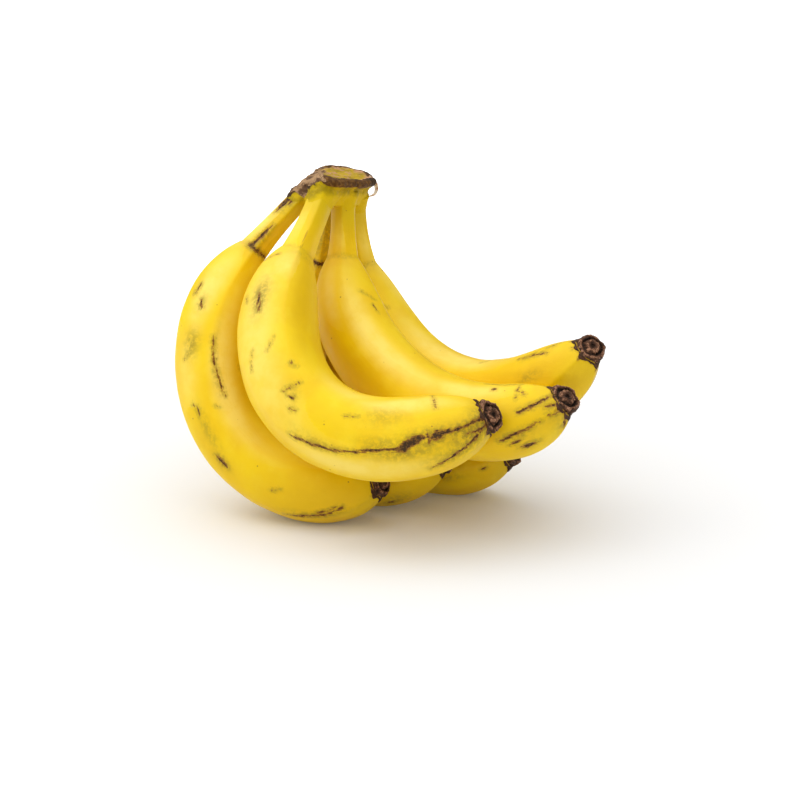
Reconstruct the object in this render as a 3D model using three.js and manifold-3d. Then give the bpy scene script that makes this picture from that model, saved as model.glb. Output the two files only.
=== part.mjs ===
// A hand of six bananas, still joined at the crown, lying on the bellies of its lower row.
// Millimetres, +Z up. +X runs from the stalks to the tips, +Y across the hand, from its front to its back.
import * as THREE from "three";
import { mergeVertices } from "three/addons/utils/BufferGeometryUtils.js";
import Module from "manifold-3d";

const wasm = await Module();
wasm.setup();

const clearance = 0.3; // between pieces that touch
const step = 1; // spacing of the points that a finger's middle line is worked out at
const facetPoints = 4; // points across each of the five facets of a finger
const stalkRings = 5;
const bodyRings = 25;

// A stalk widens a little into the neck, where the body begins.
const stalkWidening = 1.9;

// A body swells quickly at the shoulder and closes quickly at the tip. The shares are of its girth,
// the lengths are shares of the body's length.
const body = {
  neckShare: 0.42,
  shoulderLength: 0.1,
  shoulderPower: 1.1,
  tipShare: 0.29,
  tipLength: 0.073,
  tipPower: 1.1,
  ridgeShare: 1.04, // the ridges stand this much further out than the mean girth
  facetMiddle: 0.3, // 0 is a round section, 1 one with flat facets
  facetEnds: 0.55,
  widestFacet: 72, // degrees; a wider one is rounded off to this
};

const blossom = {
  depth: 3, // how far back from the end of the finger the dried part begins
  rings: [
    { out: 0, share: 0.97 },
    { out: 1.8, share: 1.06 },
    { out: 3.8, share: 1.02 },
    { out: 5.6, share: 0.86 },
    { out: 6.5, share: 0.6 },
    { out: 6.7, share: 0.3 },
  ],
  dish: 6.2,
  sides: 20,
  lobes: 0.06,
};

// Each finger bends in a plane of its own.
// root: where the middle line of its stalk ends, inside the crown.
// heading: degrees round from +X. lean: degrees that the plane leans over.
// pitch: degrees above level at the root, at the neck and at the tip.
// early: how much of the bend comes early. hook: how much of it is gathered in the middle.
// sway: how far the line slopes out of its plane at the root, along the body and at the tip.
// ridges: degrees round the section, from the inside of the bend. twist: how far they turn by the tip.
// blossomTurn: degrees that the dried end turns to the front, away from the finger's own line.
const fingers = {
  finger_1: {
    root: [-46, 9, 162.5],
    heading: 21,
    lean: 19,
    pitch: { root: -101, neck: -106, tip: 25 },
    early: 0.1,
    hook: 0.5,
    sway: { root: -0.5, body: -0.35, tip: 0.05 },
    stalkRadius: 6.7,
    stalkLength: 41.2,
    bodyLength: 185,
    girth: 20.8,
    ridges: [10, 92, 166, 215, 287],
    twist: 60,
    blossomTurn: 28,
  },
  finger_2: {
    root: [-43.5, 24.5, 161.5],
    heading: -3,
    lean: 25,
    pitch: { root: -85, neck: -83, tip: 45 },
    early: -0.1,
    hook: -0.2,
    sway: { root: 0.3, body: 0.1, tip: 0.05 },
    stalkRadius: 6.3,
    stalkLength: 35,
    bodyLength: 180,
    girth: 20,
    ridges: [0, 65, 140, 208, 296],
    twist: 28,
    blossomTurn: 24,
  },
  finger_3: {
    root: [-45, 38.2, 158.5],
    heading: -6,
    lean: 4,
    pitch: { root: -104, neck: -80, tip: 49 },
    early: 0.2,
    hook: 0.1,
    sway: { root: 0.3, body: 0, tip: 0 },
    stalkRadius: 6.1,
    stalkLength: 40,
    bodyLength: 186,
    girth: 19.1,
    ridges: [16, 88, 160, 232, 305],
    twist: 28,
    blossomTurn: 16,
  },
  finger_4: {
    root: [-60, 15.5, 162],
    heading: 14,
    lean: 8,
    pitch: { root: -125, neck: -124, tip: 25 },
    early: -0.2,
    hook: 0.1,
    sway: { root: -0.6, body: -0.2, tip: 0.05 },
    stalkRadius: 5.6,
    stalkLength: 45,
    bodyLength: 192,
    girth: 19,
    ridges: [5, 75, 145, 212, 290],
    twist: 30,
    blossomTurn: 14,
  },
  finger_5: {
    root: [-56, 32.1, 160],
    heading: -1,
    lean: 19,
    pitch: { root: -102, neck: -105, tip: 30 },
    early: -0.3,
    hook: 0.6,
    sway: { root: 0.5, body: -0.1, tip: 0.1 },
    stalkRadius: 6.1,
    stalkLength: 42,
    bodyLength: 189,
    girth: 19,
    ridges: [8, 80, 150, 222, 295],
    twist: 25,
    blossomTurn: 12,
  },
  finger_6: {
    root: [-55, 49.5, 158.5],
    heading: -3,
    lean: 19,
    pitch: { root: -105, neck: -101, tip: 26 },
    early: -0.1,
    hook: 0.4,
    sway: { root: 1.05, body: -0.05, tip: 0.1 },
    stalkRadius: 6.1,
    stalkLength: 44,
    bodyLength: 192,
    girth: 19.5,
    ridges: [12, 84, 155, 226, 300],
    twist: 25,
    blossomTurn: 10,
  },
};

// The crown wraps the stalks, flares to a rim, and ends in the slanting face where it was cut.
// A ring's out is how far it stands clear of the stalks, ahead how far it is set towards the tips, and
// pulledBack how far it draws in at the front, which is the direction front, in degrees from +X.
const crown = {
  points: 48,
  front: -105,
  rings: [
    { z: 153.5, out: 0.4, ahead: 0 },
    { z: 156.5, out: 1.2, ahead: 0 },
    { z: 160, out: 1.4, ahead: 0 },
    { z: 162, out: 2.2, ahead: 0.6, pulledBack: 0.5 },
    { z: 164, out: 3.2, ahead: 1.6, pulledBack: 2.2 },
    { z: 166.5, out: 3.4, ahead: 1.6, pulledBack: 5 },
    { z: 170, out: 3.4, ahead: 1.2, pulledBack: 6 },
    { z: 180, out: 2.6, ahead: 0.8, pulledBack: 6 },
  ],
  socketLength: 16,
  cut: { at: [-35, 37, 165.3], towards: [0.24, 0.03, 1] }, // the fresh cut face
  scar: { at: [-66, 12, 165], towards: [-0.63, -0.36, 1] }, // the old torn face beside it
};

const colours = {
  peel: { color: 0xf2c531, roughness: 0.5, metalness: 0 },
  crown: { color: 0xa9963a, roughness: 0.75, metalness: 0 },
  blossom: { color: 0x3a2018, roughness: 0.85, metalness: 0 },
};

const radians = THREE.MathUtils.degToRad;

// The middle line of a finger, with the two directions its section is drawn on.
function middleLine(finger) {
  const heading = radians(finger.heading);
  const lean = radians(finger.lean);
  const ahead = new THREE.Vector3(Math.cos(heading), Math.sin(heading), 0);
  const level = new THREE.Vector3(-Math.sin(heading), Math.cos(heading), 0);
  const upright = new THREE.Vector3(0, 0, 1);
  const up = upright.clone().multiplyScalar(Math.cos(lean)).addScaledVector(level, Math.sin(lean));
  const across = level.clone().multiplyScalar(Math.cos(lean)).addScaledVector(upright, -Math.sin(lean));
  const bend = finger.pitch.tip - finger.pitch.neck;
  const swayLength = finger.stalkLength + 0.25 * finger.bodyLength;
  const directionAt = (s) => {
    const u = THREE.MathUtils.clamp((s - finger.stalkLength) / finger.bodyLength, 0, 1);
    const down = THREE.MathUtils.clamp(s / finger.stalkLength, 0, 1);
    const gathered = Math.sin(2 * Math.PI * u) / (2 * Math.PI);
    const share = u + finger.early * (u - u * u) - finger.hook * gathered;
    const pitch = radians(THREE.MathUtils.lerp(finger.pitch.root, finger.pitch.neck, down) + bend * share);
    const early = (finger.sway.body - finger.sway.root) * THREE.MathUtils.smoothstep(s, 0, swayLength);
    const late = (finger.sway.tip - finger.sway.body) * THREE.MathUtils.smoothstep(u, 0, 1);
    return new THREE.Vector3()
      .addScaledVector(ahead, Math.cos(pitch))
      .addScaledVector(up, Math.sin(pitch))
      .addScaledVector(across, finger.sway.root + early + late)
      .normalize();
  };
  const at = new THREE.Vector3(...finger.root);
  const length = finger.stalkLength + finger.bodyLength;
  const line = [];
  for (let s = 0; s <= length; s += step) {
    const along = directionAt(s);
    const side = across.clone().addScaledVector(along, -across.dot(along)).normalize();
    line.push({ at: at.clone(), along, side, inside: new THREE.Vector3().crossVectors(along, side) });
    at.addScaledVector(directionAt(s + step / 2), step);
  }
  return line;
}

// The place on the middle line at a distance from the root.
function placeAt(line, s) {
  const i = THREE.MathUtils.clamp(Math.floor(s / step), 0, line.length - 2);
  const share = s / step - i;
  const blend = (key) => line[i][key].clone().lerp(line[i + 1][key], share);
  const along = blend("along").normalize();
  const side = blend("side").addScaledVector(along, -blend("side").dot(along)).normalize();
  return { at: blend("at"), along, side, inside: new THREE.Vector3().crossVectors(along, side) };
}

// How thick the finger is at a distance from the root, before its ridges.
function girthAt(finger, s) {
  if (s < finger.stalkLength) return finger.stalkRadius + stalkWidening * (s / finger.stalkLength) ** 3;
  const u = (s - finger.stalkLength) / finger.bodyLength;
  const swell = 1 - Math.exp(-((u / body.shoulderLength) ** body.shoulderPower));
  const close = Math.exp(-((Math.max(1 - u, 0) / body.tipLength) ** body.tipPower));
  const shoulder = body.neckShare + (1 - body.neckShare) * swell;
  return finger.girth * shoulder * (1 - (1 - body.tipShare) * close);
}

// The five-ridged outline of a finger's section: one list of angles, each with its share of the girth.
function sectionOutline(finger, u) {
  const ends = Math.abs(2 * u - 1) ** 3;
  const facet = THREE.MathUtils.lerp(body.facetMiddle, body.facetEnds, ends);
  return finger.ridges.flatMap((ridge, i) => {
    const next = finger.ridges[(i + 1) % finger.ridges.length];
    const width = radians((next - ridge + 360) % 360);
    const drawn = Math.min(width, radians(body.widestFacet));
    return Array.from({ length: facetPoints }, (_, k) => {
      const part = k / facetPoints;
      const flat = Math.cos(drawn / 2) / Math.cos(drawn * (part - 0.5));
      return {
        angle: radians(ridge + finger.twist * u * u) + width * part,
        share: body.ridgeShare * (1 - facet * (1 - flat)),
      };
    });
  });
}

// A ring of points round the middle line, at a distance from the root.
function ringAt(finger, line, s, grow = 0) {
  const { at, along, side, inside } = placeAt(line, s);
  const u = THREE.MathUtils.clamp((s - finger.stalkLength) / finger.bodyLength, 0, 1);
  const radius = girthAt(finger, s);
  const points = sectionOutline(finger, u).map(({ angle, share }) =>
    at
      .clone()
      .addScaledVector(inside, Math.cos(angle) * (radius * share + grow))
      .addScaledVector(side, Math.sin(angle) * (radius * share + grow)),
  );
  return { points, middle: at, along };
}

// A closed skin over rings of points, with a fan of triangles at each end.
function skin(rings, firstMiddle, lastMiddle) {
  const count = rings[0].length;
  const vertices = rings.flat();
  const first = vertices.push(firstMiddle) - 1;
  const last = vertices.push(lastMiddle) - 1;
  const faces = [];
  for (let r = 0; r + 1 < rings.length; r++) {
    for (let i = 0; i < count; i++) {
      const a = r * count + i;
      const b = r * count + ((i + 1) % count);
      faces.push(a, b, b + count, a, b + count, a + count);
    }
  }
  const top = (rings.length - 1) * count;
  for (let i = 0; i < count; i++) {
    const next = (i + 1) % count;
    faces.push(first, next, i, last, top + i, top + next);
  }
  return new THREE.BufferGeometry().setFromPoints(vertices).setIndex(faces);
}

function toSolid(geometry) {
  const bare = geometry.clone();
  bare.deleteAttribute("normal");
  bare.deleteAttribute("uv");
  const merged = mergeVertices(bare, 1e-4);
  const solid = new wasm.Manifold(
    new wasm.Mesh({
      numProp: 3,
      vertProperties: new Float32Array(merged.attributes.position.array),
      triVerts: new Uint32Array(merged.index.array),
    }),
  );
  if (solid.volume() > 0) return solid;
  const turned = merged.index.array.slice().reverse();
  return new wasm.Manifold(
    new wasm.Mesh({
      numProp: 3,
      vertProperties: new Float32Array(merged.attributes.position.array),
      triVerts: new Uint32Array(turned),
    }),
  );
}

function toGeometry(solid) {
  const { vertProperties, triVerts } = solid.getMesh();
  const geometry = new THREE.BufferGeometry();
  geometry.setAttribute("position", new THREE.BufferAttribute(new Float32Array(vertProperties), 3));
  geometry.setIndex(new THREE.BufferAttribute(new Uint32Array(triVerts), 1));
  geometry.computeVertexNormals();
  return geometry;
}

// A big block whose face goes through a point and looks towards a direction: everything beyond that face.
function beyond(point, direction) {
  const size = 400;
  const block = new THREE.BoxGeometry(size, size, size).translate(0, 0, size / 2);
  const turn = new THREE.Quaternion().setFromUnitVectors(
    new THREE.Vector3(0, 0, 1),
    new THREE.Vector3(...direction).normalize(),
  );
  return toSolid(block.applyQuaternion(turn).translate(...point));
}

const floorBlock = beyond([0, 0, 0], [0, 0, -1]);

// Rings stand closer together at the shoulder and at the tip, where the outline turns quickly.
function bodyStations(finger) {
  const length = finger.bodyLength - blossom.depth;
  return Array.from({ length: bodyRings }, (_, i) => {
    const t = i / (bodyRings - 1);
    const crowded = t - (0.6 * Math.sin(2 * Math.PI * t)) / (2 * Math.PI);
    return finger.stalkLength + length * crowded;
  });
}

function fingerSolid(finger) {
  const line = middleLine(finger);
  const stalkStations = Array.from({ length: stalkRings }, (_, i) => (finger.stalkLength * i) / stalkRings);
  const rings = [...stalkStations, ...bodyStations(finger)].map((s) => ringAt(finger, line, s));
  const whole = skin(
    rings.map((ring) => ring.points),
    rings[0].middle,
    rings.at(-1).middle,
  );
  return toSolid(whole).subtract(floorBlock);
}

// The dried end of the flower: a rough, lobed button on the tip.
function blossomSolid(finger, phase) {
  const line = middleLine(finger);
  const end = finger.stalkLength + finger.bodyLength - blossom.depth;
  const { at, along, side, inside } = placeAt(line, end);
  const radius = girthAt(finger, end);
  const start = at.clone().addScaledVector(along, clearance);
  const length = blossom.rings.at(-1).out;
  const middleAt = (out) => {
    const turned = radians(finger.blossomTurn) * (out / length);
    const middle = start.clone().addScaledVector(along, out * Math.cos(turned / 2));
    return middle.addScaledVector(side, -out * Math.sin(turned / 2));
  };
  const rings = blossom.rings.map(({ out, share }) => {
    const turned = radians(finger.blossomTurn) * (out / length);
    const width = side.clone().multiplyScalar(Math.cos(turned)).addScaledVector(along, Math.sin(turned));
    return Array.from({ length: blossom.sides }, (_, i) => {
      const angle = (2 * Math.PI * i) / blossom.sides;
      const lobe = 1 + blossom.lobes * (Math.cos(5 * angle + phase) + 0.6 * Math.sin(2 * angle + 2 * phase));
      return middleAt(out)
        .addScaledVector(inside, Math.cos(angle) * radius * share * lobe)
        .addScaledVector(width, Math.sin(angle) * radius * share * lobe);
    });
  });
  return toSolid(skin(rings, start, middleAt(blossom.dish)));
}

// One level outline that wraps all six stalks, a little clear of them.
function wrapRing({ z, out, ahead, pulledBack = 0 }) {
  const stalks = Object.values(fingers).map(({ root, stalkRadius }) => [root[0], root[1], stalkRadius]);
  return Array.from({ length: crown.points }, (_, i) => {
    const angle = (2 * Math.PI * i) / crown.points;
    const [x, y] = [Math.cos(angle), Math.sin(angle)];
    const reachOf = ([atX, atY, radius]) => atX * x + atY * y + radius;
    const outermost = stalks.reduce((a, b) => (reachOf(a) > reachOf(b) ? a : b));
    const reach = outermost[2] + out - pulledBack * Math.max(0, Math.cos(angle - radians(crown.front))) ** 2;
    return new THREE.Vector3(outermost[0] + reach * x + ahead, outermost[1] + reach * y, z);
  });
}

function middleOf(ring) {
  return ring.reduce((sum, point) => sum.add(point), new THREE.Vector3()).divideScalar(ring.length);
}

function crownSolid() {
  const rings = crown.rings.map(wrapRing);
  let solid = toSolid(skin(rings, middleOf(rings[0]), middleOf(rings.at(-1))));
  solid = solid.subtract(beyond(crown.cut.at, crown.cut.towards));
  solid = solid.subtract(beyond(crown.scar.at, crown.scar.towards));
  for (const finger of Object.values(fingers)) {
    const line = middleLine(finger);
    const stations = [-clearance, crown.socketLength / 2, crown.socketLength];
    const bore = stations.map((s) => ringAt(finger, line, s, clearance));
    solid = solid.subtract(toSolid(skin(bore.map((ring) => ring.points), bore[0].middle, bore.at(-1).middle)));
  }
  return solid;
}

function mesh(name, solid, finish) {
  const piece = new THREE.Mesh(toGeometry(solid), new THREE.MeshStandardMaterial(finish));
  piece.name = name;
  return piece;
}

const hand = new THREE.Group();
hand.add(mesh("crown", crownSolid(), colours.crown));
Object.entries(fingers).forEach(([name, finger], i) => {
  hand.add(mesh(name, fingerSolid(finger), colours.peel));
  hand.add(mesh(`blossom_end_${i + 1}`, blossomSolid(finger, i), colours.blossom));
});

export default hand;
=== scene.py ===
import math

import bpy
import numpy as np
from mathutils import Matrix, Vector


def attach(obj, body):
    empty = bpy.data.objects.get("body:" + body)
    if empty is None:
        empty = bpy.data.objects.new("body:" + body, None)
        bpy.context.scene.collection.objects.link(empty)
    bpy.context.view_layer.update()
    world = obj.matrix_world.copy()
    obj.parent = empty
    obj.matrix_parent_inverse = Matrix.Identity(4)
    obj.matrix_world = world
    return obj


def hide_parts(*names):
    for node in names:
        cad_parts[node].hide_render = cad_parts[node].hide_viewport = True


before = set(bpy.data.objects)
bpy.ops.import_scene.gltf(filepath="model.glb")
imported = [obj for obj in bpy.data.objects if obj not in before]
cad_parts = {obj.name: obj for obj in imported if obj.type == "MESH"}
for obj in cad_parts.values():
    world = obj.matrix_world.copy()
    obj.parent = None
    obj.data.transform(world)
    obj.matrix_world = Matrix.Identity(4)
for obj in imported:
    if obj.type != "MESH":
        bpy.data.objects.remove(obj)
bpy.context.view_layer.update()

print("frame loaded:", len(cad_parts), "nodes")

mm = 0.001  # shapes are worked out in millimetres, as the fruit was measured

# The same values as in the solids. The root is inside the crown. Pitch and sway are at the root,
# at the neck or body, and at the tip.
fingers = {
    "finger_1": {
        "root": (-46, 9, 162.5), "heading": 21, "lean": 19, "pitch": (-101, -106, 25),
        "early": 0.1, "hook": 0.5, "sway": (-0.5, -0.35, 0.05),
        "stalkRadius": 6.7, "stalkLength": 41.2, "bodyLength": 185, "girth": 20.8,
        "ridges": (10, 92, 166, 215, 287), "twist": 60, "blossomTurn": 46,
    },
    "finger_2": {
        "root": (-43.5, 24.5, 161.5), "heading": -3, "lean": 25, "pitch": (-85, -83, 45),
        "early": -0.1, "hook": -0.2, "sway": (0.3, 0.1, 0.05),
        "stalkRadius": 6.3, "stalkLength": 35, "bodyLength": 180, "girth": 20,
        "ridges": (0, 65, 140, 208, 296), "twist": 28, "blossomTurn": 42,
    },
    "finger_3": {
        "root": (-45, 38.2, 158.5), "heading": -6, "lean": 4, "pitch": (-104, -80, 49),
        "early": 0.2, "hook": 0.1, "sway": (0.3, 0, 0),
        "stalkRadius": 6.1, "stalkLength": 40, "bodyLength": 186, "girth": 19.1,
        "ridges": (16, 88, 160, 232, 305), "twist": 28, "blossomTurn": 34,
    },
    "finger_4": {
        "root": (-60, 15.5, 162), "heading": 14, "lean": 8, "pitch": (-125, -124, 25),
        "early": -0.2, "hook": 0.1, "sway": (-0.6, -0.2, 0.05),
        "stalkRadius": 5.6, "stalkLength": 45, "bodyLength": 192, "girth": 19,
        "ridges": (5, 75, 145, 212, 290), "twist": 30, "blossomTurn": 20,
    },
    "finger_5": {
        "root": (-56, 32.1, 160), "heading": -1, "lean": 19, "pitch": (-102, -105, 30),
        "early": -0.3, "hook": 0.6, "sway": (0.5, -0.1, 0.1),
        "stalkRadius": 6.1, "stalkLength": 42, "bodyLength": 189, "girth": 19,
        "ridges": (8, 80, 150, 222, 295), "twist": 25, "blossomTurn": 14,
    },
    "finger_6": {
        "root": (-55, 49.5, 158.5), "heading": -3, "lean": 19, "pitch": (-105, -101, 26),
        "early": -0.1, "hook": 0.4, "sway": (1.05, -0.05, 0.1),
        "stalkRadius": 6.1, "stalkLength": 44, "bodyLength": 192, "girth": 19.5,
        "ridges": (12, 84, 155, 226, 300), "twist": 25, "blossomTurn": 12,
    },
}

# The shares are of a finger's girth, the lengths of its body's length.
bodyShape = {
    "neckShare": 0.42,
    "shoulderLength": 0.1,
    "tipShare": 0.29,
    "tipLength": 0.073,
    "power": 1.1,  # how suddenly the shoulder and the tip turn
    "stalkWidening": 1.9,
    "swayLength": 0.25,
    "ridgeShare": 1.04,
    "facets": (0.3, 0.55),  # in the middle and at the ends: 0 is a round section, 1 has flat facets
    "widestFacet": 72,  # degrees
    "outlineStep": 0.5,  # degrees
}

peelShape = {
    "step": 0.9,  # between rings of points along a finger
    "sides": 160,
    "ridgeRounding": (6.5, 4.5),  # degrees, in the middle and at the ends
    "crestHeight": (0.12, 0.3),
    "crestWidth": 1.5,
    "crestPatches": (0.25, 8),  # the share that comes and goes, and over what length
    "lumps": ((26, 0.42), (11, 0.16), (4.5, 0.05)),  # size and height
    "lumpsOnStalk": 0.35,
    "neckCreases": ((-2.4, 0.16), (-0.6, 0.26), (1.1, 0.18), (3, 0.1)),  # place and depth
    "creaseWidth": 0.55,
    "creasePatches": (0.45, 5),
    "creaseWander": (1.6, 7),  # how far, and over what length
    "markDent": 0.22,
    "grainStretch": 0.12,
    "blossomDepth": 3,  # how far before a finger's end its dried part begins
    "floorEase": 0.4,  # below this height, skin that would reach the floor lies flat
}

latticeSize = 32
lattice = np.random.RandomState(9).rand(latticeSize, latticeSize, latticeSize) * 2 - 1


# Smooth noise from -1 to 1, with bumps about as large as the size given.
def softNoise(points, size, shift=0.0):
    place = points / size + shift
    cell = np.floor(place).astype(int)
    part = place - cell
    part = part * part * (3 - 2 * part)
    total = 0
    for corner in np.ndindex(2, 2, 2):
        weight = np.prod(np.where(corner, part, 1 - part), axis=-1)
        x, y, z = np.moveaxis((cell + corner) % latticeSize, -1, 0)
        total = total + weight * lattice[x, y, z]
    return total


# A height of which a share comes and goes over the surface.
def patchy(points, share, size, seed):
    return 1 - share + share * softNoise(points, size, seed)


def mix(a, b, share):
    return a + (b - a) * share


def smoothstep(x, a, b):
    t = np.clip((x - a) / (b - a), 0, 1)
    return t * t * (3 - 2 * t)


def unit(vectors):
    return vectors / np.linalg.norm(vectors, axis=-1)[..., None]


# The short way round, in degrees.
def shortWay(turn):
    return (turn + 180) % 360 - 180


# The middle line at each distance from a finger's root, with its directions.
def middleLine(finger, stations):
    heading, lean = math.radians(finger["heading"]), math.radians(finger["lean"])
    ahead = np.array([math.cos(heading), math.sin(heading), 0])
    level = np.array([-math.sin(heading), math.cos(heading), 0])
    upright = np.array([0, 0, 1.0])
    up = upright * math.cos(lean) + level * math.sin(lean)
    across = level * math.cos(lean) - upright * math.sin(lean)
    stalk, length = finger["stalkLength"], finger["bodyLength"]
    rootPitch, neckPitch, tipPitch = finger["pitch"]
    rootSway, bodySway, tipSway = finger["sway"]

    def directionAt(s):
        u = np.clip((s - stalk) / length, 0, 1)
        gathered = np.sin(2 * np.pi * u) / (2 * np.pi)
        bent = u + finger["early"] * (u - u * u) - finger["hook"] * gathered
        pitch = mix(rootPitch, neckPitch, np.clip(s / stalk, 0, 1)) + (tipPitch - neckPitch) * bent
        pitch = np.radians(pitch)
        sway = mix(rootSway, bodySway, smoothstep(s, 0, stalk + bodyShape["swayLength"] * length))
        sway = sway + (tipSway - bodySway) * smoothstep(u, 0, 1)
        onward = np.cos(pitch)[:, None] * ahead + np.sin(pitch)[:, None] * up
        return unit(onward + sway[:, None] * across)

    fine = np.arange(0, stalk + length + 1.0)
    steps = np.cumsum(directionAt(fine[:-1] + 0.5), 0)
    at = np.array(finger["root"], float) + np.vstack([np.zeros(3), steps])
    middle = np.stack([np.interp(stations, fine, at[:, k]) for k in range(3)], 1)
    along = directionAt(stations)
    side = unit(across - (along @ across)[:, None] * along)
    return middle, along, side, np.cross(along, side)


def girthAt(finger, s):
    shape = bodyShape
    stalk = finger["stalkLength"]
    u = np.clip((s - stalk) / finger["bodyLength"], 0, 1)
    swell = 1 - np.exp(-((u / shape["shoulderLength"]) ** shape["power"]))
    close = np.exp(-(((1 - u) / shape["tipLength"]) ** shape["power"]))
    girth = finger["girth"] * mix(shape["neckShare"], 1, swell) * mix(1, shape["tipShare"], close)
    thin = finger["stalkRadius"] + shape["stalkWidening"] * (np.clip(s, 0, stalk) / stalk) ** 3
    return np.where(s < stalk, thin, girth)


# A five-ridged section with softened ridges, and how near each point is to a ridge.
def sectionOutline(finger, u, angles):
    shape = bodyShape
    fine = np.arange(0, 360, shape["outlineStep"])
    ridges = np.array(finger["ridges"], float)
    starts = np.append(ridges - ridges[0], 360)
    turned = (fine - ridges[0]) % 360
    i = np.clip(np.searchsorted(starts, turned, side="right") - 1, 0, 4)
    width = starts[i + 1] - starts[i]
    part = (turned - starts[i]) / width
    drawn = np.radians(np.minimum(width, shape["widestFacet"]))
    flat = np.cos(drawn / 2) / np.cos(drawn * (part - 0.5))
    fromRidge = np.minimum(part, 1 - part) * width
    ends = (np.abs(2 * u - 1) ** 3)[:, None]
    q = (angles - (finger["twist"] * u * u)[:, None]) % 360
    reach = np.arange(-60, 61)
    softened = []
    for rounding in peelShape["ridgeRounding"]:
        weights = np.exp(-0.5 * (reach * shape["outlineStep"] / rounding) ** 2)
        weights /= weights.sum()
        rounded = sum(w * np.roll(flat, -k) for w, k in zip(weights, reach))
        softened.append(np.interp(q, fine, rounded, period=360))
    share = shape["ridgeShare"] * (1 - mix(*shape["facets"], ends) * (1 - mix(*softened, ends)))
    return share, np.interp(q, fine, fromRidge, period=360)


# Each stroke: how far its points lie from the root in mm, with the degrees round from the inside
# of the bend, then its width in mm at the start, the middle and the end.
strokes = {
    "finger_1": [
        ([(137, 230), (145.5, 237), (152, 241), (158.5, 244)], (0.5, 1, 0.6)),
        ([(158.5, 244), (170.5, 252), (182.5, 254)], (0.6, 0.9, 1.4)),
        ([(183, 254), (187, 259), (191, 263), (194, 264)], (2.6, 4.6, 2)),
        ([(185, 250), (186, 256), (187, 266)], (1.4, 3.4, 0.8)),
        ([(196, 270), (196.4, 262), (196, 253)], (0.2, 0.9, 0.2)),
        ([(198, 262), (201, 263), (206, 266)], (2.6, 4.2, 1.6)),
        ([(199.5, 268), (199.8, 262), (199, 256)], (0.4, 1.6, 0.4)),
        ([(203.5, 263), (210, 263), (215.5, 265), (222.5, 267)], (1.2, 1, 1.5)),
        ([(194, 215), (202.5, 221), (210, 228), (219, 238)], (0.5, 1.3, 0.9)),
        ([(213, 250), (217, 246), (222, 244)], (0.3, 0.8, 1.4)),
        ([(123.5, 265), (125.5, 291)], (0.3, 0.6, 0.3)),
        ([(126.5, 267), (129.5, 272)], (0.3, 0.6, 0.3)),
        ([(131, 258), (134, 262)], (0.3, 0.5, 0.3)),
        ([(113, 293), (113.4, 293)], (0.8, 0.8, 0.8)),
        ([(116, 296), (116.3, 296)], (0.7, 0.7, 0.7)),
        ([(201, 347), (202, 325), (202.5, 307)], (0.1, 0.4, 0.1)),
        ([(72, 247), (76, 250), (80, 248)], (0.4, 1.2, 0.4)),
        ([(77, 255), (82, 253)], (0.3, 0.8, 0.3)),
    ],
    "finger_2": [
        ([(194, 264), (198, 266), (202.5, 268), (209.5, 278)], (0.5, 1.6, 0.5)),
        ([(184, 227), (189.5, 232), (193, 233)], (1.2, 1, 1.6)),
        ([(193, 233), (197, 234), (203, 235)], (1.8, 0.8, 0.4)),
        ([(187, 216), (189, 217), (191, 219)], (0.7, 1.6, 0.6)),
        ([(190.5, 204), (193, 200), (196, 197)], (0.8, 2.4, 1)),
        ([(197, 303), (199, 297)], (0.6, 1.3, 0.7)),
        ([(180.6, 312), (182.4, 312)], (0.6, 1.1, 0.6)),
        ([(207, 255), (211, 247)], (0.4, 1.5, 0.6)),
        ([(206, 236), (211, 222)], (0.4, 1, 0.4)),
        ([(172, 338), (182, 332), (196, 326)], (0.1, 0.4, 0.1)),
        ([(210, 190), (208, 175)], (0.8, 1.4, 0.5)),
    ],
    "finger_3": [
        ([(188, 328), (199, 322), (208, 315)], (0.2, 0.8, 0.3)),
        ([(223, 148), (216.5, 159), (211, 170), (204, 178)], (1.3, 1.2, 0.4)),
        ([(221.3, 300), (223, 301)], (0.8, 1, 0.8)),
    ],
    "finger_4": [
        ([(95, 292), (108.5, 296), (118.5, 302), (130, 306)], (0.2, 0.9, 0.2)),
        ([(77, 232), (72.5, 235)], (0.3, 0.8, 0.3)),
        ([(82, 260), (79, 252)], (0.4, 1, 0.4)),
        ([(128.5, 250), (131, 257), (134, 255)], (0.3, 0.8, 0.3)),
        ([(154, 248), (157.5, 249), (161, 248)], (0.8, 2.2, 0.8)),
        ([(193, 221), (203, 231), (210.5, 234), (218.5, 243)], (0.4, 1.4, 0.9)),
        ([(207, 238), (212, 241), (216, 246)], (0.3, 0.8, 0.3)),
        ([(3, 232), (12, 231), (22, 232)], (4.5, 3.2, 0.4)),
        ([(4, 262), (9, 261), (14, 260)], (3.5, 2.4, 0.5)),
        ([(29, 277), (37, 272), (44, 268)], (0.4, 1.5, 1.8)),
        ([(44, 262), (44.6, 285), (44, 310), (43.5, 351)], (1.9, 1.5, 1.2)),
    ],
    "finger_5": [
        ([(40, 262), (40.4, 300), (39.5, 330)], (1.4, 2, 1.6)),
        ([(199, 190), (202, 192)], (1, 2, 1)),
    ],
    "finger_6": [
        ([(222, 238), (223.2, 238)], (0.7, 1, 0.7)),
        ([(150, 80), (158, 84)], (0.6, 1.4, 0.6)),
    ],
}

# The sides that the picture doesn't show have such strokes near their ridges.
unseenStrokes = {
    "seed": 21, "count": 9, "along": (70, 215), "unseen": (25, 195), "offRidge": 7,
    "lengths": (4, 22), "shortened": (0.3, 1), "bend": 4, "widths": (0.5, 1.7), "ends": (0.3, 0.4),
}

# Short scratches all over, so thin that only parts of them show.
scratches = {
    "count": 12, "along": (48, 218), "lengths": (2, 8), "slant": 14, "widths": (-0.3, 0.2), "ends": -0.6,
}


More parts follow.
